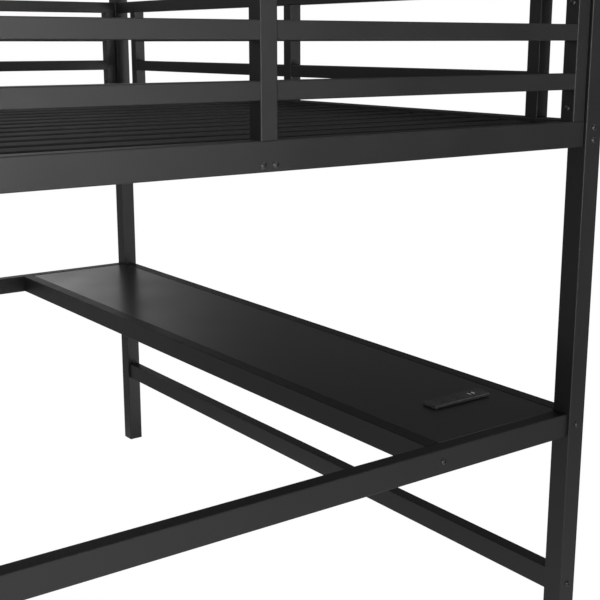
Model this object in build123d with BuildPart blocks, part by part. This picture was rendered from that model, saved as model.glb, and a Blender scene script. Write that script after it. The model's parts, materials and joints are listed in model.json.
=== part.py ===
from build123d import *
import os

# Loft bed with desk, a bolted frame of square steel tube. Millimetres, +Z up.
# X is the bed's length, Y its width. The desk is on the +Y side, the ladder on the -Y side.
# The origin is on the floor, under the middle of the bed.

os.makedirs("parts", exist_ok=True)

# ---- Driving dimensions ----
BED_LENGTH = 2116.0  # over the posts
BED_WIDTH = 1644.0  # over the posts

POST = 47.0  # square post
POST_TOP = 1622.0  # top of the tube, under its cap
TUBE = 34.0  # depth of every rail and side of every stile
RAIL_HEIGHT = 52.0
TOP_RAIL_HEIGHT = 35.0
INFILL = 32.0  # square infill rail of the guards
WALL = 1.0
TUBE_RADIUS = 2.0

BED_RAIL_BOTTOM = 1244.0
GUARD_TOP = 1586.0
GUARD_STILE_X = 900.0  # outer stiles of the back guard, from the middle
ENTRY_WIDTH = 450.0  # gap in the front guard, over the ladder

SLAT_COUNT = 21
SLAT_PITCH = 98.0
SLAT_WIDTH = 60.0
SLAT_THICK = 18.0
SLAT_WALL = 0.6
SLAT_RADIUS = 3.0
SLAT_BELOW_RAIL = 7.5  # slat tops under the top of the rails
SLAT_CLEARANCE = 2.0  # between a slat's end and the side rail
SLAT_CAP = 1.5
SLAT_SCREW_LENGTH = 10.0
LEDGE_WIDTH = 20.0
LEDGE_THICK = 3.0
CENTER_BEAM_WIDTH = 50.0
CENTER_BEAM_HEIGHT = 25.0

DESK_TOP = 670.5  # top of the desk's tubes
DESK_DEPTH = 426.0  # front of the front beam, from the outer face of the back posts
BOARD_THICK = 15.0
BOARD_BELOW_TUBE = 1.0
BOARD_GAP = 1.0
BOARD_EDGE = 0.8  # edge rounding of the board
BOARD_SCREW_DEPTH = 11.0  # how far a screw goes into the board
BOARD_HOLE_DEPTH = 12.0
NOTCH = 8.0  # corner of the board cut away for a back post
SUPPORT_WIDTH = 30.0
SUPPORT_HEIGHT = 20.0
SUPPORT_X = [-985.0, -330.0, 330.0, 985.0]
SUPPORT_SCREW_INSET = 60.0  # from the support's ends
STRETCHER_BOTTOM = 241.5

LADDER_RUNGS = 4
RUNG_HEIGHT = 25.0
RUNG_RADIUS = 4.0
LADDER_BOLT_Z = [160.0, 1120.0]
BRACKET_THICK = 4.0
BRACKET_WIDTH = 28.0
BRACKET_RADIUS = 3.0
BRACKET_BOLT_DROP = 54.0  # lower bolt, under the bed rail
BRACKET_BOLT_RISE = 10.0  # upper bolt, above the rail's bottom
BRACKET_FOOT = 14.0  # from the lower bolt to the bracket's end
BRACKET_HEAD = 8.0  # from the upper bolt to the bracket's end

CAP_THICK = 3.0  # flange of a tube plug
PLUG_LENGTH = 14.0
PLUG_CLEARANCE = 0.2
PLUG_WALL = 2.0
PLUG_RADIUS = 1.0
PLUG_INNER_RADIUS = 0.5
CAP_ROUND = 1.4
FOOT_ROUND = 1.0

BOLT_RADIUS = 4.0
BOLT_HOLE = 4.25  # radius of a bolt hole in a tube's wall
THREAD_HOLE = 4.1  # radius of the hole in a nut or an end plate
BOLT_LONG = 66.0
BOLT_SHORT = 50.0
BOLT_BRACKET = 16.0
HEAD_RADIUS = 6.5
HEAD_HEIGHT = 3.4
HEAD_RIM = 1.0  # straight edge of the head under its dome
DOME_POINT = (0.62, 0.86)  # a point of the dome, as shares of the head's radius and height
TIP_CHAMFER = 0.6
SOCKET_RADIUS = 2.9
SOCKET_DEPTH = 2.0
PLATE_THICK = 6.0  # end plate, flush in a tube's end
PLATE_CLEARANCE = 0.2
NUT_RADIUS = 7.0
NUT_HEIGHT = 6.5
TWIN_BOLTS = 25.0  # spacing of a pair of bolts in the bed rails
DESK_TWIN_BOLTS = 24.0
CENTER_BOLT_RISE = 11.5  # above the bottom of the end rail
PANEL_BOLT_LOW = 26.0  # above the bed rail
PANEL_BOLT_HIGH = 22.0  # under the top rail

SCREW_RADIUS = 1.8
SCREW_HOLE = 2.0
SCREW_HEAD_RADIUS = 3.6
SCREW_HEAD_HEIGHT = 2.0
SCREW_RIM = 0.6
SCREW_SOCKET = 1.5
SCREW_SOCKET_DEPTH = 1.2

STRIP_X = 839.0  # middle of the power strip
STRIP_Y = 650.0
STRIP_LENGTH = 167.0
STRIP_WIDTH = 46.0
STRIP_COVER = 5.0
STRIP_GAP = 3.0  # shadow gap under the cover
STRIP_BOTTOM = 624.0
STRIP_WALL = 2.0
STRIP_RADIUS = 4.0
STRIP_BODY_RADIUS = 3.0
STRIP_FIT = 0.1  # around the inserts of the cover
FACE_RECESS = 0.4  # faces of the inserts under the cover's top
COVER_ROUND = 2.5
STRIP_BODY_LENGTH = 158.0
STRIP_BODY_WIDTH = 36.0
STRIP_LIP_LENGTH = 161.0
STRIP_LIP_WIDTH = 39.0
CUTOUT_CLEARANCE = 0.5
OUTLET_Y = (-48.0, -4.0)  # from the middle of the strip
OUTLET_WIDTH = 28.0
OUTLET_LENGTH = 32.0
OUTLET_DEPTH = 22.0
OUTLET_RADIUS = 4.0
SLOT_DEPTH = 18.0
BLADE_SHIFT = -6.5  # the blade slots, from the middle of an outlet
BLADE_HALF_SPACING = 6.35
BLADE_WIDTH = 2.2
WIDE_BLADE = 8.4
NARROW_BLADE = 6.8
GROUND_SHIFT = 5.4
GROUND_RADIUS = 2.9
USB_X = -1.5
USB_Y = (39.5, 52.5)
USB_LENGTH = 12.6
USB_HEIGHT = 5.2
USB_DEPTH = 12.0
USB_WALL = 0.5
USB_RADIUS = 0.4
TONGUE_BASE = 1.5
TONGUE_LENGTH = 11.8
TONGUE_THICK = 3.6
TONGUE_HEIGHT = 11.6
CIRCUIT_THICK = 1.6
CIRCUIT_SIDE_GAP = 0.5
CIRCUIT_END_GAP = 2.0
INLET_HEIGHT = 12.0  # above the strip's bottom
INLET_RADIUS = 6.0
INLET_BORE = 3.5
INLET_DEPTH = 4.0
INLET_COLLAR_RADIUS = 8.0
INLET_COLLAR = 3.0

# ---- Worked out from them ----
HALF_LENGTH = BED_LENGTH / 2
HALF_WIDTH = BED_WIDTH / 2
POST_X = HALF_LENGTH - POST / 2  # centre lines of the posts, and of the rails between them
POST_Y = HALF_WIDTH - POST / 2
INNER_X = HALF_LENGTH - POST  # faces of the posts that look into the bed
INNER_Y = HALF_WIDTH - POST
FACE_X = POST_X - TUBE / 2  # inner faces of the end rails and crossbars
FACE_Y = POST_Y - TUBE / 2  # inner faces of the side rails

BED_RAIL_TOP = BED_RAIL_BOTTOM + RAIL_HEIGHT
BED_RAIL_MID = BED_RAIL_BOTTOM + RAIL_HEIGHT / 2
TOP_RAIL_MID = GUARD_TOP - TOP_RAIL_HEIGHT / 2
STILE_TOP = GUARD_TOP - TOP_RAIL_HEIGHT
STILE_HEIGHT = STILE_TOP - BED_RAIL_TOP
INFILL_GAP = (STILE_HEIGHT - 2 * INFILL) / 3
INFILL_Z = [BED_RAIL_TOP + INFILL_GAP + INFILL / 2, STILE_TOP - INFILL_GAP - INFILL / 2]

SLAT_TOP = BED_RAIL_TOP - SLAT_BELOW_RAIL
SLAT_BOTTOM = SLAT_TOP - SLAT_THICK
SLAT_MID = SLAT_TOP - SLAT_THICK / 2
SLAT_HALF = FACE_Y - SLAT_CLEARANCE
LEDGE_HOLE_Y = FACE_Y - LEDGE_WIDTH / 2
LEDGE_HALF = INNER_X - 1  # the ledges stop short of the posts
CENTER_BEAM_MID = SLAT_BOTTOM - CENTER_BEAM_HEIGHT / 2

ENTRY_EDGE = -INNER_X + ENTRY_WIDTH
FRONT_STILE_X = [ENTRY_EDGE + TUBE / 2, (ENTRY_EDGE + TUBE / 2 + GUARD_STILE_X) / 2, GUARD_STILE_X]
BACK_STILE_X = [-GUARD_STILE_X, 0, GUARD_STILE_X]

LADDER_LEFT_X = -INNER_X + TUBE / 2
LADDER_RIGHT_X = ENTRY_EDGE + TUBE / 2
RUNG_PITCH = BED_RAIL_MID / (LADDER_RUNGS + 1)

DESK_MID = DESK_TOP - RAIL_HEIGHT / 2
DESK_FRONT_Y = HALF_WIDTH - DESK_DEPTH + TUBE / 2
BOARD_TOP = DESK_TOP - BOARD_BELOW_TUBE
BOARD_BOTTOM = BOARD_TOP - BOARD_THICK
BOARD_FRONT = DESK_FRONT_Y + TUBE / 2 + BOARD_GAP
BOARD_BACK = FACE_Y - BOARD_GAP
BOARD_HALF = FACE_X - BOARD_GAP
SUPPORT_MID = BOARD_BOTTOM - SUPPORT_HEIGHT / 2
STRETCHER_MID = STRETCHER_BOTTOM + RAIL_HEIGHT / 2

STRIP_LIP_TOP = BOARD_TOP + STRIP_GAP
STRIP_TOP = STRIP_LIP_TOP + STRIP_COVER

PANEL_BOLT_Z = [BED_RAIL_TOP + PANEL_BOLT_LOW, STILE_TOP - PANEL_BOLT_HIGH]
CENTER_BOLT_Z = BED_RAIL_BOTTOM + CENTER_BOLT_RISE
BRACKET_BOLT_Z = [BED_RAIL_BOTTOM - BRACKET_BOLT_DROP, BED_RAIL_BOTTOM + BRACKET_BOLT_RISE]
SIDES = (-1, 1)


# ---- Planes ----
def along_x(x, y, z):
    """A plane whose normal is +X, with +Y across and +Z up."""
    return Plane(origin=(x, y, z), x_dir=(0, 1, 0), z_dir=(1, 0, 0))


def along_y(x, y, z):
    """A plane whose normal is +Y, with +X across."""
    return Plane(origin=(x, y, z), x_dir=(1, 0, 0), z_dir=(0, 1, 0))


def facing(point, direction):
    """A plane at the point whose normal is the direction, for a bolt's head or a nut's top."""
    across = (0, 0, 1) if direction[2] == 0 else (1, 0, 0)
    return Plane(origin=point, x_dir=across, z_dir=direction)


# ---- Shapes shared by the sub-parts. Each adds to the part that is open when it is called. ----
def add_tube(plane, across, up, length, radius=TUBE_RADIUS):
    """A hollow tube, from the plane along its normal."""
    with BuildSketch(plane) as section:
        RectangleRounded(across, up, radius)
        RectangleRounded(across - 2 * WALL, up - 2 * WALL, radius - WALL, mode=Mode.SUBTRACT)
    extrude(section.sketch, amount=length)


def drill(planes, radius, depth):
    """Round holes from each plane, against its normal."""
    for plane in planes:
        with BuildSketch(plane) as hole:
            Circle(radius)
        extrude(hole.sketch, amount=-depth, mode=Mode.SUBTRACT)


def add_plug(plane, side_a, side_b):
    """A plastic plug for a tube's open end: its flange stands on the plane, its skirt goes in."""
    with BuildSketch(plane) as flange:
        RectangleRounded(side_a, side_b, TUBE_RADIUS)
    extrude(flange.sketch, amount=CAP_THICK)
    skirt_a = side_a - 2 * (WALL + PLUG_CLEARANCE)
    skirt_b = side_b - 2 * (WALL + PLUG_CLEARANCE)
    inner_a = skirt_a - 2 * PLUG_WALL
    inner_b = skirt_b - 2 * PLUG_WALL
    with BuildSketch(plane) as skirt:
        RectangleRounded(skirt_a, skirt_b, PLUG_RADIUS)
        RectangleRounded(inner_a, inner_b, PLUG_INNER_RADIUS, mode=Mode.SUBTRACT)
    extrude(skirt.sketch, amount=-PLUG_LENGTH)


def make_bolt(length, radius=BOLT_RADIUS, head=HEAD_RADIUS, height=HEAD_HEIGHT,
              rim=HEAD_RIM, socket=SOCKET_RADIUS, socket_depth=SOCKET_DEPTH):
    """A button head bolt with a hex socket, its shank along -Z from the underside of the head."""
    with BuildPart() as bolt:
        with BuildSketch(Plane.XZ):
            with BuildLine():
                Polyline((0, height), (0, -length), (radius - TIP_CHAMFER, -length),
                         (radius, -length + TIP_CHAMFER), (radius, 0), (head, 0), (head, rim))
                dome = (head * DOME_POINT[0], height * DOME_POINT[1])
                ThreePointArc((head, rim), dome, (0, height))
            make_face()
        revolve(axis=Axis.Z)
        with BuildSketch(Plane.XY.offset(height - socket_depth)):
            RegularPolygon(socket, 6)
        extrude(amount=2 * socket_depth, mode=Mode.SUBTRACT)
    return bolt.part


def make_screw(length):
    """A small screw, for the slats and the board."""
    return make_bolt(length, SCREW_RADIUS, SCREW_HEAD_RADIUS, SCREW_HEAD_HEIGHT,
                     SCREW_RIM, SCREW_SOCKET, SCREW_SOCKET_DEPTH)


def save(builder, name):
    """Label a finished piece and write its file."""
    builder.part.label = name
    export_step(builder.part, "parts/" + name + ".step")


# ---- Where the bolts are: the plane under each head ----
def post_bolts_x(z, y_sides=SIDES, x_sides=SIDES):
    """Bolts in the outer end faces of the posts."""
    return [facing((sx * HALF_LENGTH, sy * POST_Y, z), (sx, 0, 0)) for sx in x_sides for sy in y_sides]


def post_bolts_y(z):
    """Bolts in the outer side faces of the posts."""
    return [facing((sx * POST_X, sy * HALF_WIDTH, z), (0, sy, 0)) for sx in SIDES for sy in SIDES]


SIDE_RAIL_BOLTS = [p for dz in SIDES for p in post_bolts_x(BED_RAIL_MID + dz * TWIN_BOLTS / 2)]
END_RAIL_BOLTS = post_bolts_y(BED_RAIL_MID)
GUARD_RAIL_BOLTS = post_bolts_x(TOP_RAIL_MID, y_sides=(1,)) + post_bolts_x(TOP_RAIL_MID, (-1,), (1,))
DESK_CROSSBAR_BOLTS = [p for dz in SIDES for p in post_bolts_y(DESK_MID + dz * DESK_TWIN_BOLTS / 2)]
DESK_BACK_BOLTS = post_bolts_x(DESK_MID, y_sides=(1,))
STRETCHER_BOLTS = post_bolts_x(STRETCHER_MID, y_sides=(1,))
DESK_FRONT_BOLTS = [facing((sx * (POST_X + TUBE / 2), DESK_FRONT_Y, DESK_MID), (sx, 0, 0)) for sx in SIDES]
CENTER_BEAM_BOLTS = [
    facing((sx * (POST_X + TUBE / 2), dy * TWIN_BOLTS / 2, CENTER_BOLT_Z), (sx, 0, 0))
    for sx in SIDES
    for dy in SIDES
]
END_PANEL_BOLTS = [
    facing((sx * POST_X, sy * (INNER_Y - TUBE), z), (0, -sy, 0))
    for sx in SIDES
    for sy in SIDES
    for z in PANEL_BOLT_Z
]
LADDER_POST_BOLTS = [facing((-INNER_X + TUBE, -POST_Y, z), (1, 0, 0)) for z in LADDER_BOLT_Z]
BRACKET_BOLTS = [facing((LADDER_RIGHT_X, -FACE_Y + BRACKET_THICK, z), (0, 1, 0)) for z in BRACKET_BOLT_Z]


def near(planes, x=None, y=None, reach=POST):
    """The planes that lie within reach of a centre line at x, y, or both."""
    found = planes
    if x is not None:
        found = [p for p in found if abs(p.origin.X - x) < reach]
    if y is not None:
        found = [p for p in found if abs(p.origin.Y - y) < reach]
    return found


# ---- Posts ----
def make_post(name, side_x, side_y):
    """A post, drilled through for the bolts of everything that meets it."""
    x = side_x * POST_X
    y = side_y * POST_Y
    through = SIDE_RAIL_BOLTS + END_RAIL_BOLTS + GUARD_RAIL_BOLTS
    through = through + DESK_CROSSBAR_BOLTS + DESK_BACK_BOLTS + STRETCHER_BOLTS
    with BuildPart() as post:
        add_tube(Plane.XY.offset(CAP_THICK).move(Location((x, y, 0))), POST, POST, POST_TOP - CAP_THICK)
        drill(near(through, x, y), BOLT_HOLE, POST)
        drill(near(END_PANEL_BOLTS, x, y, 2 * POST), BOLT_HOLE, TUBE + 2 * WALL)
        if side_x < 0 and side_y < 0:
            drill(LADDER_POST_BOLTS, BOLT_HOLE, TUBE + 2 * WALL)
    save(post, name)


make_post("post_back_right", 1, 1)
make_post("post_back_left", -1, 1)
make_post("post_front_right", 1, -1)
make_post("post_front_left", -1, -1)

with BuildPart() as post_caps:
    for side_x in SIDES:
        for side_y in SIDES:
            add_plug(Plane(origin=(side_x * POST_X, side_y * POST_Y, POST_TOP)), POST, POST)
    cap_edges = post_caps.faces().filter_by(Plane.XY).group_by(Axis.Z)[-1].edges()
    fillet(cap_edges, CAP_ROUND)
save(post_caps, "post_caps")

with BuildPart() as foot_plugs:
    for side_x in SIDES:
        for side_y in SIDES:
            foot = Plane(origin=(side_x * POST_X, side_y * POST_Y, CAP_THICK), z_dir=(0, 0, -1))
            add_plug(foot, POST, POST)
    foot_edges = foot_plugs.faces().filter_by(Plane.XY).group_by(Axis.Z)[0].edges()
    fillet(foot_edges, FOOT_ROUND)
save(foot_plugs, "foot_plugs")


# ---- Bed frame ----
for name, side in (("side_rail_back", 1), ("side_rail_front", -1)):
    with BuildPart() as side_rail:
        add_tube(along_x(-INNER_X, side * POST_Y, BED_RAIL_MID), TUBE, RAIL_HEIGHT, 2 * INNER_X)
        if side < 0:
            drill(BRACKET_BOLTS[1:], BOLT_HOLE, BRACKET_THICK + 2 * WALL)
    save(side_rail, name)

for name, side in (("end_rail_right", 1), ("end_rail_left", -1)):
    with BuildPart() as end_rail:
        add_tube(along_y(side * POST_X, -INNER_Y, BED_RAIL_MID), TUBE, RAIL_HEIGHT, 2 * INNER_Y)
        drill(near(CENTER_BEAM_BOLTS, x=side * POST_X), BOLT_HOLE, TUBE)
    save(end_rail, name)


# ---- Guards ----
for name, side in (("end_stiles_right", 1), ("end_stiles_left", -1)):
    with BuildPart() as end_stiles:
        for y in (-INNER_Y + TUBE / 2, 0, INNER_Y - TUBE / 2):
            add_tube(Plane(origin=(side * POST_X, y, BED_RAIL_TOP)), TUBE, TUBE, STILE_HEIGHT)
        drill(near(END_PANEL_BOLTS, x=side * POST_X), BOLT_HOLE, TUBE)
    save(end_stiles, name)

END_BAY = INNER_Y - 1.5 * TUBE
for name, side in (("end_infill_rails_right", 1), ("end_infill_rails_left", -1)):
    with BuildPart() as end_infill:
        for z in INFILL_Z:
            for start in (-TUBE / 2 - END_BAY, TUBE / 2):
                add_tube(along_y(side * POST_X, start, z), INFILL, INFILL, END_BAY)
    save(end_infill, name)

for name, side in (("end_top_rail_right", 1), ("end_top_rail_left", -1)):
    with BuildPart() as end_top_rail:
        add_tube(along_y(side * POST_X, -INNER_Y, TOP_RAIL_MID), TUBE, TOP_RAIL_HEIGHT, 2 * INNER_Y)
    save(end_top_rail, name)


def make_side_guard(name, y, stile_xs, top_start):
    """The stiles, infill rails and top rail that stand on a side rail."""
    with BuildPart() as stiles:
        for x in stile_xs:
            add_tube(Plane(origin=(x, y, BED_RAIL_TOP)), TUBE, TUBE, STILE_HEIGHT)
    save(stiles, name + "_stiles")
    with BuildPart() as infill:
        for z in INFILL_Z:
            for start, end in zip(stile_xs[:-1], stile_xs[1:]):
                add_tube(along_x(start + TUBE / 2, y, z), INFILL, INFILL, end - start - TUBE)
    save(infill, name + "_infill_rails")
    with BuildPart() as top_rail:
        add_tube(along_x(top_start, y, TOP_RAIL_MID), TUBE, TOP_RAIL_HEIGHT, INNER_X - top_start)
    save(top_rail, name + "_top_rail")


make_side_guard("back_guard", POST_Y, BACK_STILE_X, -INNER_X)
make_side_guard("front_guard", -POST_Y, FRONT_STILE_X, ENTRY_EDGE)

with BuildPart() as guard_end_cap:
    entry_end = Plane(origin=(ENTRY_EDGE, -POST_Y, TOP_RAIL_MID), x_dir=(0, 1, 0), z_dir=(-1, 0, 0))
    add_plug(entry_end, TUBE, TOP_RAIL_HEIGHT)
save(guard_end_cap, "guard_end_cap")


# ---- Slats and what carries them ----
SLAT_X = [SLAT_PITCH * (i - (SLAT_COUNT - 1) / 2) for i in range(SLAT_COUNT)]
SLAT_SCREWS = [
    facing((x, side * LEDGE_HOLE_Y, SLAT_BOTTOM - LEDGE_THICK), (0, 0, -1)) for x in SLAT_X for side in SIDES
]

for name, side in (("slat_ledge_back", 1), ("slat_ledge_front", -1)):
    with BuildPart() as ledge:
        with BuildSketch(along_x(-LEDGE_HALF, side * LEDGE_HOLE_Y, SLAT_BOTTOM - LEDGE_THICK / 2)):
            Rectangle(LEDGE_WIDTH, LEDGE_THICK)
        extrude(amount=2 * LEDGE_HALF)
        with BuildSketch(Plane.XY.offset(SLAT_BOTTOM)):
            with Locations(*[(x, side * LEDGE_HOLE_Y) for x in SLAT_X]):
                Circle(SCREW_HOLE)
        extrude(amount=-LEDGE_THICK, mode=Mode.SUBTRACT)
    save(ledge, name)

with BuildPart() as center_beam:
    add_tube(along_x(-FACE_X, 0, CENTER_BEAM_MID), CENTER_BEAM_WIDTH, CENTER_BEAM_HEIGHT, 2 * FACE_X)
save(center_beam, "center_beam")

with BuildPart() as slats:
    with BuildSketch(along_y(0, -SLAT_HALF, SLAT_MID)):
        with Locations(*[(x, 0) for x in SLAT_X]):
            RectangleRounded(SLAT_WIDTH, SLAT_THICK, SLAT_RADIUS)
            RectangleRounded(
                SLAT_WIDTH - 2 * SLAT_WALL,
                SLAT_THICK - 2 * SLAT_WALL,
                SLAT_RADIUS - SLAT_WALL,
                mode=Mode.SUBTRACT,
            )
    extrude(amount=2 * SLAT_HALF)
    with BuildSketch(Plane.XY.offset(SLAT_BOTTOM)):
        with Locations(*[(x, side * LEDGE_HOLE_Y) for x in SLAT_X for side in SIDES]):
            Circle(SCREW_HOLE)
    extrude(amount=SLAT_WALL, mode=Mode.SUBTRACT)
save(slats, "slats")

with BuildPart() as slat_end_caps:
    for side in SIDES:
        with BuildSketch(along_y(0, side * SLAT_HALF, SLAT_MID)):
            with Locations(*[(x, 0) for x in SLAT_X]):
                RectangleRounded(SLAT_WIDTH, SLAT_THICK, SLAT_RADIUS)
        extrude(amount=side * SLAT_CAP)
save(slat_end_caps, "slat_end_caps")

slat_screw = make_screw(SLAT_SCREW_LENGTH)
with BuildPart() as slat_screws:
    with Locations(*SLAT_SCREWS):
        add(slat_screw)
save(slat_screws, "slat_screws")


# ---- Desk ----
for name, side in (("desk_crossbar_right", 1), ("desk_crossbar_left", -1)):
    with BuildPart() as crossbar:
        add_tube(along_y(side * POST_X, -INNER_Y, DESK_MID), TUBE, RAIL_HEIGHT, 2 * INNER_Y)
        drill(near(DESK_FRONT_BOLTS, x=side * POST_X), BOLT_HOLE, TUBE)
    save(crossbar, name)

with BuildPart() as desk_front_beam:
    add_tube(along_x(-FACE_X, DESK_FRONT_Y, DESK_MID), TUBE, RAIL_HEIGHT, 2 * FACE_X)
save(desk_front_beam, "desk_front_beam")

with BuildPart() as desk_back_beam:
    add_tube(along_x(-INNER_X, POST_Y, DESK_MID), TUBE, RAIL_HEIGHT, 2 * INNER_X)
save(desk_back_beam, "desk_back_beam")

SUPPORT_START = DESK_FRONT_Y + TUBE / 2
SUPPORT_LENGTH = FACE_Y - SUPPORT_START
SUPPORT_SCREW_Y = (SUPPORT_START + SUPPORT_SCREW_INSET, FACE_Y - SUPPORT_SCREW_INSET)
with BuildPart() as desk_supports:
    for x in SUPPORT_X:
        add_tube(along_y(x, SUPPORT_START, SUPPORT_MID), SUPPORT_WIDTH, SUPPORT_HEIGHT, SUPPORT_LENGTH)
    with BuildSketch(Plane.XY.offset(BOARD_BOTTOM)):
        with Locations(*[(x, y) for x in SUPPORT_X for y in SUPPORT_SCREW_Y]):
            Circle(SCREW_HOLE)
    extrude(amount=-SUPPORT_HEIGHT, mode=Mode.SUBTRACT)
save(desk_supports, "desk_supports")

BOARD_MID_Y = (BOARD_FRONT + BOARD_BACK) / 2
with BuildPart() as desktop:
    with BuildSketch(Plane.XY.offset(BOARD_BOTTOM)):
        with Locations((0, BOARD_MID_Y)):
            Rectangle(2 * BOARD_HALF, BOARD_BACK - BOARD_FRONT)
        with Locations((-BOARD_HALF, BOARD_BACK), (BOARD_HALF, BOARD_BACK)):
            Rectangle(2 * NOTCH, 2 * NOTCH, mode=Mode.SUBTRACT)
        with Locations((STRIP_X, STRIP_Y)):
            RectangleRounded(
                STRIP_BODY_WIDTH + 2 * CUTOUT_CLEARANCE,
                STRIP_BODY_LENGTH + 2 * CUTOUT_CLEARANCE,
                STRIP_BODY_RADIUS + CUTOUT_CLEARANCE,
                mode=Mode.SUBTRACT,
            )
    extrude(amount=BOARD_THICK)
    outline = desktop.faces().filter_by(Plane.XY).sort_by(Axis.Z)[-1].outer_wire().edges()
    fillet(outline, BOARD_EDGE)
    with BuildSketch(Plane.XY.offset(BOARD_BOTTOM)):
        with Locations(*[(x, y) for x in SUPPORT_X for y in SUPPORT_SCREW_Y]):
            Circle(SCREW_HOLE)
    extrude(amount=BOARD_HOLE_DEPTH, mode=Mode.SUBTRACT)
save(desktop, "desktop")

board_screw = make_screw(SUPPORT_HEIGHT + BOARD_SCREW_DEPTH)
BOARD_SCREWS = [
    facing((x, y, BOARD_BOTTOM - SUPPORT_HEIGHT), (0, 0, -1)) for x in SUPPORT_X for y in SUPPORT_SCREW_Y
]
with BuildPart() as desktop_screws:
    with Locations(*BOARD_SCREWS):
        add(board_screw)
save(desktop_screws, "desktop_screws")

with BuildPart() as lower_stretcher:
    add_tube(along_x(-INNER_X, POST_Y, STRETCHER_MID), TUBE, RAIL_HEIGHT, 2 * INNER_X)
save(lower_stretcher, "lower_stretcher")


# ---- Ladder ----
for name, x in (("ladder_rail_left", LADDER_LEFT_X), ("ladder_rail_right", LADDER_RIGHT_X)):
    with BuildPart() as ladder_rail:
        add_tube(Plane(origin=(x, -POST_Y, CAP_THICK)), TUBE, TUBE, BED_RAIL_BOTTOM - CAP_THICK)
        if x == LADDER_LEFT_X:
            drill(LADDER_POST_BOLTS, BOLT_HOLE, TUBE)
        else:
            drill(BRACKET_BOLTS[:1], BOLT_HOLE, BRACKET_THICK + 2 * WALL)
    save(ladder_rail, name)

RUNG_START = LADDER_LEFT_X + TUBE / 2
RUNG_LENGTH = LADDER_RIGHT_X - LADDER_LEFT_X - TUBE
with BuildPart() as ladder_rungs:
    for i in range(LADDER_RUNGS):
        rung_plane = along_x(RUNG_START, -POST_Y, RUNG_PITCH * (i + 1))
        add_tube(rung_plane, TUBE, RUNG_HEIGHT, RUNG_LENGTH, radius=RUNG_RADIUS)
save(ladder_rungs, "ladder_rungs")

with BuildPart() as ladder_foot_plugs:
    for x in (LADDER_LEFT_X, LADDER_RIGHT_X):
        add_plug(Plane(origin=(x, -POST_Y, CAP_THICK), z_dir=(0, 0, -1)), TUBE, TUBE)
save(ladder_foot_plugs, "ladder_foot_plugs")

BRACKET_LOW = BRACKET_BOLT_Z[0] - BRACKET_FOOT
BRACKET_HIGH = BRACKET_BOLT_Z[1] + BRACKET_HEAD
with BuildPart() as ladder_bracket:
    with BuildSketch(along_y(LADDER_RIGHT_X, -FACE_Y, (BRACKET_LOW + BRACKET_HIGH) / 2)):
        RectangleRounded(BRACKET_WIDTH, BRACKET_HIGH - BRACKET_LOW, BRACKET_RADIUS)
    extrude(amount=BRACKET_THICK)
    drill(BRACKET_BOLTS, BOLT_HOLE, BRACKET_THICK)
save(ladder_bracket, "ladder_bracket")


# ---- Bolts, end plates and weld nuts ----
long_bolt = make_bolt(BOLT_LONG)
short_bolt = make_bolt(BOLT_SHORT)
bracket_bolt = make_bolt(BOLT_BRACKET)


def save_bolts(name, groups):
    """A node of bolts: each group is a bolt and the planes under its heads."""
    with BuildPart() as bolts:
        for bolt, planes in groups:
            with Locations(*planes):
                add(bolt)
    save(bolts, name)


save_bolts("side_rail_bolts", [(long_bolt, SIDE_RAIL_BOLTS)])
save_bolts("end_rail_bolts", [(long_bolt, END_RAIL_BOLTS)])
save_bolts("end_panel_bolts", [(short_bolt, END_PANEL_BOLTS)])
save_bolts("guard_rail_bolts", [(long_bolt, GUARD_RAIL_BOLTS)])
save_bolts("center_beam_bolts", [(short_bolt, CENTER_BEAM_BOLTS)])
save_bolts("desk_frame_bolts", [
    (long_bolt, DESK_CROSSBAR_BOLTS + DESK_BACK_BOLTS),
    (short_bolt, DESK_FRONT_BOLTS),
])
save_bolts("stretcher_bolts", [(long_bolt, STRETCHER_BOLTS)])
save_bolts("ladder_bolts", [(short_bolt, LADDER_POST_BOLTS), (bracket_bolt, BRACKET_BOLTS)])


def add_end_plate(plane, across, up, hole_planes):
    """A threaded plate, flush in a tube's end. The plane is the tube's end, facing out."""
    clearance = 2 * (WALL + PLATE_CLEARANCE)
    with BuildSketch(plane) as blank:
        Rectangle(across - clearance, up - clearance)
    extrude(blank.sketch, amount=-PLATE_THICK)
    drill(hole_planes, THREAD_HOLE, 2 * POST)


with BuildPart() as bed_end_plates:
    for sx in SIDES:
        for sy in SIDES:
            side_end = facing((sx * INNER_X, sy * POST_Y, BED_RAIL_MID), (sx, 0, 0))
            add_end_plate(side_end, RAIL_HEIGHT, TUBE, near(SIDE_RAIL_BOLTS, sx * POST_X, sy * POST_Y))
            end_end = facing((sx * POST_X, sy * INNER_Y, BED_RAIL_MID), (0, sy, 0))
            add_end_plate(end_end, RAIL_HEIGHT, TUBE, near(END_RAIL_BOLTS, sx * POST_X, sy * POST_Y))
        beam_end = facing((sx * FACE_X, 0, CENTER_BEAM_MID), (sx, 0, 0))
        beam_bolts = near(CENTER_BEAM_BOLTS, x=sx * POST_X)
        add_end_plate(beam_end, CENTER_BEAM_HEIGHT, CENTER_BEAM_WIDTH, beam_bolts)
    for plane in GUARD_RAIL_BOLTS:
        sx = 1 if plane.origin.X > 0 else -1
        guard_end = facing((sx * INNER_X, plane.origin.Y, TOP_RAIL_MID), (sx, 0, 0))
        add_end_plate(guard_end, TOP_RAIL_HEIGHT, TUBE, [plane])
save(bed_end_plates, "bed_end_plates")

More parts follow.
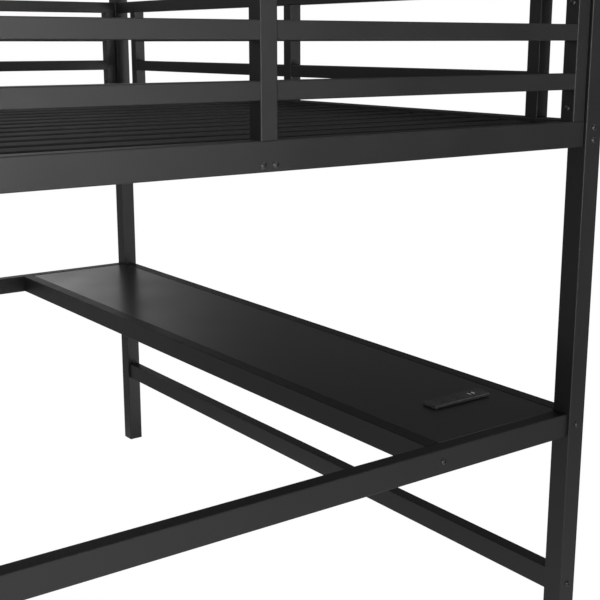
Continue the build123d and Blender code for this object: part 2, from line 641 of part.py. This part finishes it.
with BuildPart() as desk_end_plates:
    for sx in SIDES:
        for sy in SIDES:
            cross_end = facing((sx * POST_X, sy * INNER_Y, DESK_MID), (0, sy, 0))
            add_end_plate(cross_end, RAIL_HEIGHT, TUBE, near(DESK_CROSSBAR_BOLTS, sx * POST_X, sy * POST_Y))
        back_end = facing((sx * INNER_X, POST_Y, DESK_MID), (sx, 0, 0))
        add_end_plate(back_end, RAIL_HEIGHT, TUBE, near(DESK_BACK_BOLTS, x=sx * POST_X))
        front_end = facing((sx * FACE_X, DESK_FRONT_Y, DESK_MID), (sx, 0, 0))
        add_end_plate(front_end, RAIL_HEIGHT, TUBE, near(DESK_FRONT_BOLTS, x=sx * POST_X))
        low_end = facing((sx * INNER_X, POST_Y, STRETCHER_MID), (sx, 0, 0))
        add_end_plate(low_end, RAIL_HEIGHT, TUBE, near(STRETCHER_BOLTS, x=sx * POST_X))
save(desk_end_plates, "desk_end_plates")


def add_nut(bolt_plane, depth):
    """A round weld nut behind a wall, that far under the bolt's head."""
    with BuildSketch(bolt_plane.offset(-depth)) as nut:
        Circle(NUT_RADIUS)
        Circle(THREAD_HOLE, mode=Mode.SUBTRACT)
    extrude(nut.sketch, amount=-NUT_HEIGHT)


with BuildPart() as weld_nuts:
    for plane in END_PANEL_BOLTS + LADDER_POST_BOLTS:
        add_nut(plane, TUBE + WALL)
    for plane in BRACKET_BOLTS:
        add_nut(plane, BRACKET_THICK + WALL)
save(weld_nuts, "weld_nuts")


# ---- Power strip ----
def strip_plane(z):
    """A level plane at the middle of the power strip, with the strip's length along +Y."""
    return Plane(origin=(STRIP_X, STRIP_Y, z))


OUTLETS = [(0, y) for y in OUTLET_Y]
USB_PORTS = [(USB_X, y) for y in USB_Y]
INLET = facing((STRIP_X, STRIP_Y - STRIP_BODY_LENGTH / 2, STRIP_BOTTOM + INLET_HEIGHT), (0, -1, 0))
INSERT_TOP = STRIP_TOP - FACE_RECESS

with BuildPart() as power_housing:
    with BuildSketch(strip_plane(STRIP_BOTTOM)):
        RectangleRounded(STRIP_BODY_WIDTH, STRIP_BODY_LENGTH, STRIP_BODY_RADIUS)
    extrude(amount=STRIP_LIP_TOP - STRIP_BOTTOM)
    with BuildSketch(strip_plane(BOARD_TOP)):
        RectangleRounded(STRIP_LIP_WIDTH, STRIP_LIP_LENGTH, STRIP_RADIUS)
    extrude(amount=STRIP_GAP)
    with BuildSketch(strip_plane(STRIP_LIP_TOP)):
        RectangleRounded(
            STRIP_BODY_WIDTH - 2 * STRIP_WALL,
            STRIP_BODY_LENGTH - 2 * STRIP_WALL,
            STRIP_BODY_RADIUS - STRIP_WALL,
        )
    extrude(amount=STRIP_BOTTOM + STRIP_WALL - STRIP_LIP_TOP, mode=Mode.SUBTRACT)
    drill([INLET], INLET_RADIUS, STRIP_WALL)
save(power_housing, "power_housing")

with BuildPart() as power_cover:
    with BuildSketch(strip_plane(STRIP_LIP_TOP)):
        RectangleRounded(STRIP_WIDTH, STRIP_LENGTH, STRIP_RADIUS)
        with Locations(*OUTLETS):
            RectangleRounded(OUTLET_LENGTH, OUTLET_WIDTH, OUTLET_RADIUS, mode=Mode.SUBTRACT)
        rim = USB_WALL + STRIP_FIT
        with Locations(*USB_PORTS):
            RectangleRounded(
                USB_LENGTH + 2 * rim,
                USB_HEIGHT + 2 * rim,
                USB_RADIUS + rim,
                mode=Mode.SUBTRACT,
            )
    extrude(amount=STRIP_COVER)
    cover_top = power_cover.faces().filter_by(Plane.XY).sort_by(Axis.Z)[-1]
    fillet(cover_top.outer_wire().edges(), COVER_ROUND)
save(power_cover, "power_cover")

with BuildPart() as outlet_inserts:
    with BuildSketch(strip_plane(INSERT_TOP)):
        with Locations(*OUTLETS):
            RectangleRounded(
                OUTLET_LENGTH - 2 * STRIP_FIT,
                OUTLET_WIDTH - 2 * STRIP_FIT,
                OUTLET_RADIUS - STRIP_FIT,
            )
    extrude(amount=-OUTLET_DEPTH)
    with BuildSketch(strip_plane(INSERT_TOP)):
        for y in OUTLET_Y:
            with Locations((BLADE_SHIFT, y - BLADE_HALF_SPACING)):
                Rectangle(WIDE_BLADE, BLADE_WIDTH)
            with Locations((BLADE_SHIFT, y + BLADE_HALF_SPACING)):
                Rectangle(NARROW_BLADE, BLADE_WIDTH)
            with Locations((GROUND_SHIFT, y)):
                Circle(GROUND_RADIUS)
    extrude(amount=-SLOT_DEPTH, mode=Mode.SUBTRACT)
save(outlet_inserts, "outlet_inserts")

with BuildPart() as usb_shells:
    with BuildSketch(strip_plane(INSERT_TOP)):
        with Locations(*USB_PORTS):
            RectangleRounded(USB_LENGTH + 2 * USB_WALL, USB_HEIGHT + 2 * USB_WALL, USB_RADIUS + USB_WALL)
            RectangleRounded(USB_LENGTH, USB_HEIGHT, USB_RADIUS, mode=Mode.SUBTRACT)
    extrude(amount=-USB_DEPTH)
save(usb_shells, "usb_shells")

TONGUE_FLOOR = INSERT_TOP - USB_DEPTH
with BuildPart() as usb_tongues:
    with BuildSketch(strip_plane(TONGUE_FLOOR)):
        with Locations(*USB_PORTS):
            Rectangle(USB_LENGTH - 2 * STRIP_FIT, USB_HEIGHT - 2 * STRIP_FIT)
    extrude(amount=TONGUE_BASE)
    with BuildSketch(strip_plane(TONGUE_FLOOR)):
        with Locations(*USB_PORTS):
            Rectangle(TONGUE_LENGTH, TONGUE_THICK)
    extrude(amount=TONGUE_HEIGHT)
save(usb_tongues, "usb_tongues")

CIRCUIT_WIDTH = STRIP_BODY_WIDTH - 2 * (STRIP_WALL + CIRCUIT_SIDE_GAP)
CIRCUIT_LENGTH = STRIP_BODY_LENGTH - 2 * (STRIP_WALL + CIRCUIT_END_GAP)
with BuildPart() as power_circuit_board:
    with BuildSketch(strip_plane(INSERT_TOP - OUTLET_DEPTH)):
        Rectangle(CIRCUIT_WIDTH, CIRCUIT_LENGTH)
    extrude(amount=-CIRCUIT_THICK)
save(power_circuit_board, "power_circuit_board")

with BuildPart() as power_cord_inlet:
    with BuildSketch(INLET) as gland:
        Circle(INLET_RADIUS - STRIP_FIT)
        Circle(INLET_BORE, mode=Mode.SUBTRACT)
    extrude(gland.sketch, amount=-INLET_DEPTH)
    with BuildSketch(INLET) as collar:
        Circle(INLET_COLLAR_RADIUS)
        Circle(INLET_BORE, mode=Mode.SUBTRACT)
    extrude(collar.sketch, amount=INLET_COLLAR)
save(power_cord_inlet, "power_cord_inlet")
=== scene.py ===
import json
import math

import bpy
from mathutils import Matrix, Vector


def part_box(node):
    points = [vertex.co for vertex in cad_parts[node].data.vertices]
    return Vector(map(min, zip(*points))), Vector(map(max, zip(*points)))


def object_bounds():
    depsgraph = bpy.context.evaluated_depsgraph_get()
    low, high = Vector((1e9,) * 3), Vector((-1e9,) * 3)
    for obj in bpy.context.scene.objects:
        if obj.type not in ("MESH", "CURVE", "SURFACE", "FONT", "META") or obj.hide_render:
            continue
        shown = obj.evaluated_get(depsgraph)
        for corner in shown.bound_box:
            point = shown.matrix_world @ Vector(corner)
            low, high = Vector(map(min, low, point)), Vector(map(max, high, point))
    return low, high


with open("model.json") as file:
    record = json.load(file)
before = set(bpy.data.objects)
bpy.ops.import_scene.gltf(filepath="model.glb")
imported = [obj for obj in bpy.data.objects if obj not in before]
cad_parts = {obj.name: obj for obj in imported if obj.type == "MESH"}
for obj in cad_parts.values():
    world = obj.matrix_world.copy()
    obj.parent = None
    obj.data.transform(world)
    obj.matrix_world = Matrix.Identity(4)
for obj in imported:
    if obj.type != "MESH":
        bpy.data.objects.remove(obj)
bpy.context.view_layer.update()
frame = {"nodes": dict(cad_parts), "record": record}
record = frame["record"]

# ---- Camera, in metres and degrees ----
END_DISTANCE = 1.502  # beyond the right end of the posts
SIDE_DISTANCE = 0.213  # beyond the front of the posts
EYE_HEIGHT = 1.4516
TURN = 53.993  # from looking along +Y towards -X
LOOK_DOWN = 13.022
LENS = 66.776  # millimetres
SENSOR = 36.0  # millimetres
FARTHEST = 100.0

# ---- Light ----
AIR = 0.055  # the same in every direction
LOBES = [  # axis, strength and power of falloff
    ((0.975, 0.15, -0.13), 95.0, 150.0),  # sheen on the faces to the right
    ((-0.916, 0.37, 0.19), 1.4, 210.0),  # sheen at the far end of the desktop
    ((-0.949, 0.202, 0.242), 0.05, 8.0),  # the soft edge of that sheen
    ((-0.15, -0.99, 0.0), 0.5, 1.7),  # faces to the front
    ((0.75, -0.65, -0.02), 20.0, 60.0),  # corner lines and bolt rims
    ((0.2, 0.42, 0.88), 2.6, 14.0),  # upper edge roundings
    ((-0.8, -0.27, 0.5), 0.9, 20.0),  # the front edge of the power strip
]
OVERHEAD_PLACE = (2.5, 0, 4.5)
OVERHEAD_TARGET = (0.5, 0, 0.7)
OVERHEAD_SIDE = 2.0
OVERHEAD_POWER = 10  # watts

# ---- Floor ----
FLOOR_HALF = 12.0
FLOOR_GAP = 0.0005  # under the feet
FLOOR_GLOW = 0.325
FLOOR_SPOTS = [  # place, reach and strength
    ((2.4, -0.5, 0.0), 3.0, 1.6),  # beyond the right end
    ((-0.35, 1.5, 0.0), 1.3, 2.4),  # behind the desk
]
SPOT_FALLOFF = 1.5

# ---- Surfaces ----
DARKER = 0.85  # the dark and the light patches of a coat, against its own shade
LIGHTER = 1.15
NOISE_LOW = 0.3  # noise values run mostly between these
NOISE_HIGH = 0.7


# ---- Node helpers ----
def new_material(name):
    """A material with a Principled shader, and its node tree."""
    material = bpy.data.materials.new(name)
    material.use_nodes = True
    return material, material.node_tree, material.node_tree.nodes["Principled BSDF"]


def object_noise(tree, scale, detail=2.0, roughness=0.5, stretch=None):
    """Noise in the object's own coordinates, so its scale is per metre. Stretch scales each axis."""
    nodes, links = tree.nodes, tree.links
    coordinate = nodes.new("ShaderNodeTexCoord")
    noise = nodes.new("ShaderNodeTexNoise")
    noise.inputs["Scale"].default_value = scale
    noise.inputs["Detail"].default_value = detail
    noise.inputs["Roughness"].default_value = roughness
    source = coordinate.outputs["Object"]
    if stretch:
        mapping = nodes.new("ShaderNodeMapping")
        mapping.inputs["Scale"].default_value = stretch
        links.new(source, mapping.inputs["Vector"])
        source = mapping.outputs["Vector"]
    links.new(source, noise.inputs["Vector"])
    return noise.outputs["Fac"]


def ramp(tree, factor, low, high, start=NOISE_LOW, end=NOISE_HIGH):
    """A colour ramp between two colours."""
    node = tree.nodes.new("ShaderNodeValToRGB")
    node.color_ramp.elements[0].position = start
    node.color_ramp.elements[1].position = end
    node.color_ramp.elements[0].color = (*low, 1)
    node.color_ramp.elements[1].color = (*high, 1)
    tree.links.new(factor, node.inputs["Fac"])
    return node.outputs["Color"]


def spread(tree, factor, low, high):
    """Maps a noise value onto a range."""
    node = tree.nodes.new("ShaderNodeMapRange")
    node.inputs["From Min"].default_value = NOISE_LOW
    node.inputs["From Max"].default_value = NOISE_HIGH
    node.inputs["To Min"].default_value = low
    node.inputs["To Max"].default_value = high
    tree.links.new(factor, node.inputs["Value"])
    return node.outputs["Result"]


def bump(tree, height, strength, distance, below=None):
    """A bump node, on top of another one if given."""
    node = tree.nodes.new("ShaderNodeBump")
    node.inputs["Strength"].default_value = strength
    node.inputs["Distance"].default_value = distance
    tree.links.new(height, node.inputs["Height"])
    if below is not None:
        tree.links.new(below, node.inputs["Normal"])
    return node.outputs["Normal"]


def calculate(tree, operation, first, second):
    """A math node. Each input is a socket or a number."""
    node = tree.nodes.new("ShaderNodeMath")
    node.operation = operation
    for socket, value in zip(node.inputs, (first, second)):
        if isinstance(value, (int, float)):
            socket.default_value = value
        else:
            tree.links.new(value, socket)
    return node.outputs[0]


# ---- Materials ----
def grey(value):
    """A very slightly cool grey."""
    return (value, value, value * 1.02)


def patchy_grey(tree, patches, shade):
    return ramp(tree, patches, grey(shade * DARKER), grey(shade * LIGHTER))


def powder_coat(name, shade, gloss, grain=0.18, specular=0.36):
    """Fine textured powder coat on steel: orange peel, sand grain, slight patches of sheen."""
    material, tree, shader = new_material(name)
    shader.inputs["Specular IOR Level"].default_value = specular
    patches = object_noise(tree, scale=7.0, detail=3.0)
    sand = object_noise(tree, scale=1400.0, roughness=0.6)
    peel = object_noise(tree, scale=320.0, detail=1.0)
    tree.links.new(patchy_grey(tree, patches, shade), shader.inputs["Base Color"])
    tree.links.new(spread(tree, patches, gloss - 0.03, gloss + 0.04), shader.inputs["Roughness"])
    normal = bump(tree, peel, strength=0.10, distance=0.0004)
    normal = bump(tree, sand, strength=grain, distance=0.00015, below=normal)
    tree.links.new(normal, shader.inputs["Normal"])
    return material


def laminate(name, shade, gloss, specular):
    """Satin black laminate with a fine pebble grain."""
    material, tree, shader = new_material(name)
    shader.inputs["Specular IOR Level"].default_value = specular
    patches = object_noise(tree, scale=5.0, detail=4.0)
    pebble = object_noise(tree, scale=900.0)
    tree.links.new(patchy_grey(tree, patches, shade), shader.inputs["Base Color"])
    tree.links.new(spread(tree, patches, gloss - 0.02, gloss + 0.03), shader.inputs["Roughness"])
    tree.links.new(bump(tree, pebble, strength=0.12, distance=0.0002), shader.inputs["Normal"])
    return material


def plastic(name, color, gloss, grain=0.15):
    """Moulded plastic with a spark eroded grain."""
    material, tree, shader = new_material(name)
    patches = object_noise(tree, scale=25.0)
    pits = object_noise(tree, scale=2200.0)
    low = tuple(c * 0.88 for c in color)
    high = tuple(min(c * 1.12, 1) for c in color)
    tree.links.new(ramp(tree, patches, low, high), shader.inputs["Base Color"])
    tree.links.new(spread(tree, patches, gloss - 0.04, gloss + 0.05), shader.inputs["Roughness"])
    tree.links.new(bump(tree, pits, strength=grain, distance=0.0001), shader.inputs["Normal"])
    return material


def plated_metal(name, color, gloss):
    """Plated steel with fine brush lines."""
    material, tree, shader = new_material(name)
    shader.inputs["Metallic"].default_value = 1.0
    lines = object_noise(tree, scale=60.0, detail=3.0, stretch=(40, 3, 3))
    low = tuple(c * DARKER for c in color)
    tree.links.new(ramp(tree, lines, low, color), shader.inputs["Base Color"])
    tree.links.new(spread(tree, lines, gloss - 0.06, gloss + 0.08), shader.inputs["Roughness"])
    tree.links.new(bump(tree, lines, strength=0.1, distance=0.00005), shader.inputs["Normal"])
    return material


def circuit(name):
    """Green solder mask with lighter copper lines under it."""
    material, tree, shader = new_material(name)
    lines = object_noise(tree, scale=300.0, stretch=(1, 4, 1))
    mask = (0.01, 0.09, 0.03)
    copper = (0.03, 0.2, 0.08)
    color = ramp(tree, lines, mask, copper, start=0.45, end=0.55)
    tree.links.new(color, shader.inputs["Base Color"])
    shader.inputs["Roughness"].default_value = 0.3
    return material


finishes = {
    "black_steel": powder_coat("black_steel", shade=0.0065, gloss=0.44),
    "black_bolt": powder_coat("black_bolt", shade=0.014, gloss=0.36, grain=0.1, specular=0.5),
    "plug_plastic": plastic("plug_plastic", grey(0.016), gloss=0.55),
    "desk_laminate": laminate("desk_laminate", shade=0.01, gloss=0.3, specular=0.85),
    "strip_plastic": plastic("strip_plastic", grey(0.036), gloss=0.38),
    "usb_steel": plated_metal("usb_steel", (0.55, 0.55, 0.56), gloss=0.3),
    "usb_tongue": plastic("usb_tongue", (0.9, 0.91, 0.93), gloss=0.35, grain=0.05),
    "zinc_steel": plated_metal("zinc_steel", (0.5, 0.5, 0.47), gloss=0.4),
    "circuit_board": circuit("circuit_board"),
}
# A darker, less shiny copy of the black steel coat, made for the slats: painted shade that keeps the slat
# tops dark under grazing light.
painted_shade_slat_coat = powder_coat("painted_shade_slat_coat", shade=0.004, gloss=0.6, specular=0.3)

# The slats take the painted shade copy of the coat in place of their own black steel finish.
for row in record["subparts"]:
    mesh = frame["nodes"][row["node"]].data
    mesh.materials.clear()
    mesh.materials.append(painted_shade_slat_coat if row["node"] == "slats" else finishes[row["material_slot"]])


# ---- Stage ----
def white_for_camera(tree, surface, out):
    """Shows the camera plain white, and lights the object with the surface shader alone."""
    path = tree.nodes.new("ShaderNodeLightPath")
    mix = tree.nodes.new("ShaderNodeMixShader")
    white = tree.nodes.new(surface.node.bl_idname)
    white.inputs["Color"].default_value = (1, 1, 1, 1)
    white.inputs["Strength"].default_value = 1.0
    tree.links.new(path.outputs["Is Camera Ray"], mix.inputs["Fac"])
    tree.links.new(surface, mix.inputs[1])
    tree.links.new(white.outputs[0], mix.inputs[2])
    tree.links.new(mix.outputs[0], out.inputs["Surface"])


def floor_material():
    """A soft glow, brighter in round spots that fade outwards."""
    material = bpy.data.materials.new("floor")
    material.use_nodes = True
    tree = material.node_tree
    tree.nodes.clear()
    out = tree.nodes.new("ShaderNodeOutputMaterial")
    coordinate = tree.nodes.new("ShaderNodeTexCoord")
    light = FLOOR_GLOW
    for place, reach, strength in FLOOR_SPOTS:
        distance = tree.nodes.new("ShaderNodeVectorMath")
        distance.operation = "DISTANCE"
        distance.inputs[1].default_value = place
        tree.links.new(coordinate.outputs["Object"], distance.inputs[0])
        near = calculate(tree, "SUBTRACT", 1.0, calculate(tree, "DIVIDE", distance.outputs["Value"], reach))
        near = calculate(tree, "POWER", calculate(tree, "MAXIMUM", near, 0.0), SPOT_FALLOFF)
        light = calculate(tree, "ADD", light, calculate(tree, "MULTIPLY", near, strength))
    glow = tree.nodes.new("ShaderNodeEmission")
    tree.links.new(light, glow.inputs["Strength"])
    white_for_camera(tree, glow.outputs[0], out)
    return material


def make_floor():
    low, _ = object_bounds()
    mesh = bpy.data.meshes.new("floor")
    signs = [(-1, -1), (1, -1), (1, 1), (-1, 1)]
    corners = [(x * FLOOR_HALF, y * FLOOR_HALF, 0) for x, y in signs]
    mesh.from_pydata(corners, [], [(0, 1, 2, 3)])
    floor = bpy.data.objects.new("floor", mesh)
    bpy.context.scene.collection.objects.link(floor)
    floor.location.z = low[2] - FLOOR_GAP
    mesh.materials.append(floor_material())


def make_world():
    """Soft studio air: a dim base, and lobes of light around their axes."""
    world = bpy.data.worlds.new("studio")
    bpy.context.scene.world = world
    world.use_nodes = True
    tree = world.node_tree
    tree.nodes.clear()
    out = tree.nodes.new("ShaderNodeOutputWorld")
    coordinate = tree.nodes.new("ShaderNodeTexCoord")
    light = AIR
    for axis, strength, power in LOBES:
        toward = tree.nodes.new("ShaderNodeVectorMath")
        toward.operation = "DOT_PRODUCT"
        toward.inputs[1].default_value = Vector(axis).normalized()
        tree.links.new(coordinate.outputs["Generated"], toward.inputs[0])
        fade = calculate(tree, "POWER", calculate(tree, "MAXIMUM", toward.outputs["Value"], 0.0), power)
        light = calculate(tree, "ADD", light, calculate(tree, "MULTIPLY", fade, strength))
    air = tree.nodes.new("ShaderNodeBackground")
    air.inputs["Color"].default_value = (1, 1, 1, 1)
    tree.links.new(light, air.inputs["Strength"])
    white_for_camera(tree, air.outputs[0], out)


def make_overhead():
    """A soft square light above the near end."""
    light = bpy.data.lights.new("overhead", "AREA")
    light.shape = "SQUARE"
    light.size = OVERHEAD_SIDE
    light.energy = OVERHEAD_POWER
    lamp = bpy.data.objects.new("overhead", light)
    bpy.context.scene.collection.objects.link(lamp)
    lamp.location = OVERHEAD_PLACE
    lamp.visible_camera = False
    beam = Vector(OVERHEAD_TARGET) - Vector(OVERHEAD_PLACE)
    lamp.rotation_euler = beam.to_track_quat("-Z", "Y").to_euler()


def make_camera():
    low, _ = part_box("post_front_right")
    _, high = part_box("post_back_right")
    camera = bpy.data.cameras.new("camera")
    camera.lens = LENS
    camera.sensor_width = SENSOR
    camera.clip_end = FARTHEST
    eye = bpy.data.objects.new("camera", camera)
    bpy.context.scene.collection.objects.link(eye)
    eye.location = (high.x + END_DISTANCE, low.y - SIDE_DISTANCE, EYE_HEIGHT)
    eye.rotation_euler = (math.radians(90 - LOOK_DOWN), 0, math.radians(TURN))
    bpy.context.scene.camera = eye


make_floor()
make_world()
make_overhead()
make_camera()
bpy.context.scene.view_settings.view_transform = "Standard"
